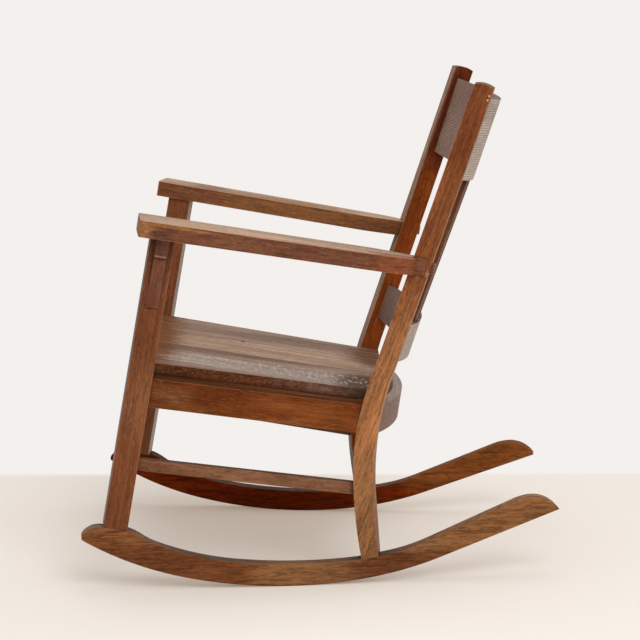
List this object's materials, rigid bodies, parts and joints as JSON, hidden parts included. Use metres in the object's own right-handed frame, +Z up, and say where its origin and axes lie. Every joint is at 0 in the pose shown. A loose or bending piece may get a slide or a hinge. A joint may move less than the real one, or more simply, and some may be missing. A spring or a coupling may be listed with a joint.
{
  "type": "rocking chair",
  "caption": "Oak rocking chair with flat boarded seat, bowed crest and lower back rails with slats between, broad flat arms on corbels and curved rockers.",
  "frame": {"origin": "on the floor, under the middle of the chair's outline", "axes": "+X to the sitter's left, +Y to the back of the chair, +Z up"},
  "size_m": [0.73, 0.8402, 0.8793],
  "materials": {
    "rocker_oak": "worn satin finish",
    "leg_oak": "worn satin finish",
    "post_oak": "worn satin finish",
    "arm_oak": "worn satin finish",
    "seat_oak": "worn satin finish",
    "rail_oak": "worn satin finish",
    "back_oak": "worn satin finish",
    "steel": "worn metal"
  },
  "bodies": {
    "root": {"arm_corbel_left": "leg_oak", "arm_corbel_right": "leg_oak", "arm_left": "arm_oak", "arm_right": "arm_oak", "back_slat_1": "back_oak", "back_slat_2": "back_oak", "back_slat_3": "back_oak", "back_slat_4": "back_oak", "back_slat_5": "back_oak", "cleat_screws": "steel", "crest_brads": "steel", "crest_rail": "back_oak", "front_leg_left": "leg_oak", "front_leg_right": "leg_oak", "front_seat_rail": "rail_oak", "lower_back_rail": "back_oak", "rear_post_left": "post_oak", "rear_post_right": "post_oak", "rear_seat_rail": "rail_oak", "rocker_left": "rocker_oak", "rocker_right": "rocker_oak", "seat_board_1": "seat_oak", "seat_board_2": "seat_oak", "seat_board_3": "seat_oak", "seat_board_4": "seat_oak", "seat_board_5": "seat_oak", "seat_cleat_left": "rail_oak", "seat_cleat_right": "rail_oak", "side_seat_rail_left": "rail_oak", "side_seat_rail_right": "rail_oak", "side_stretcher_left": "rail_oak", "side_stretcher_right": "rail_oak"}
  },
  "joints": []
}
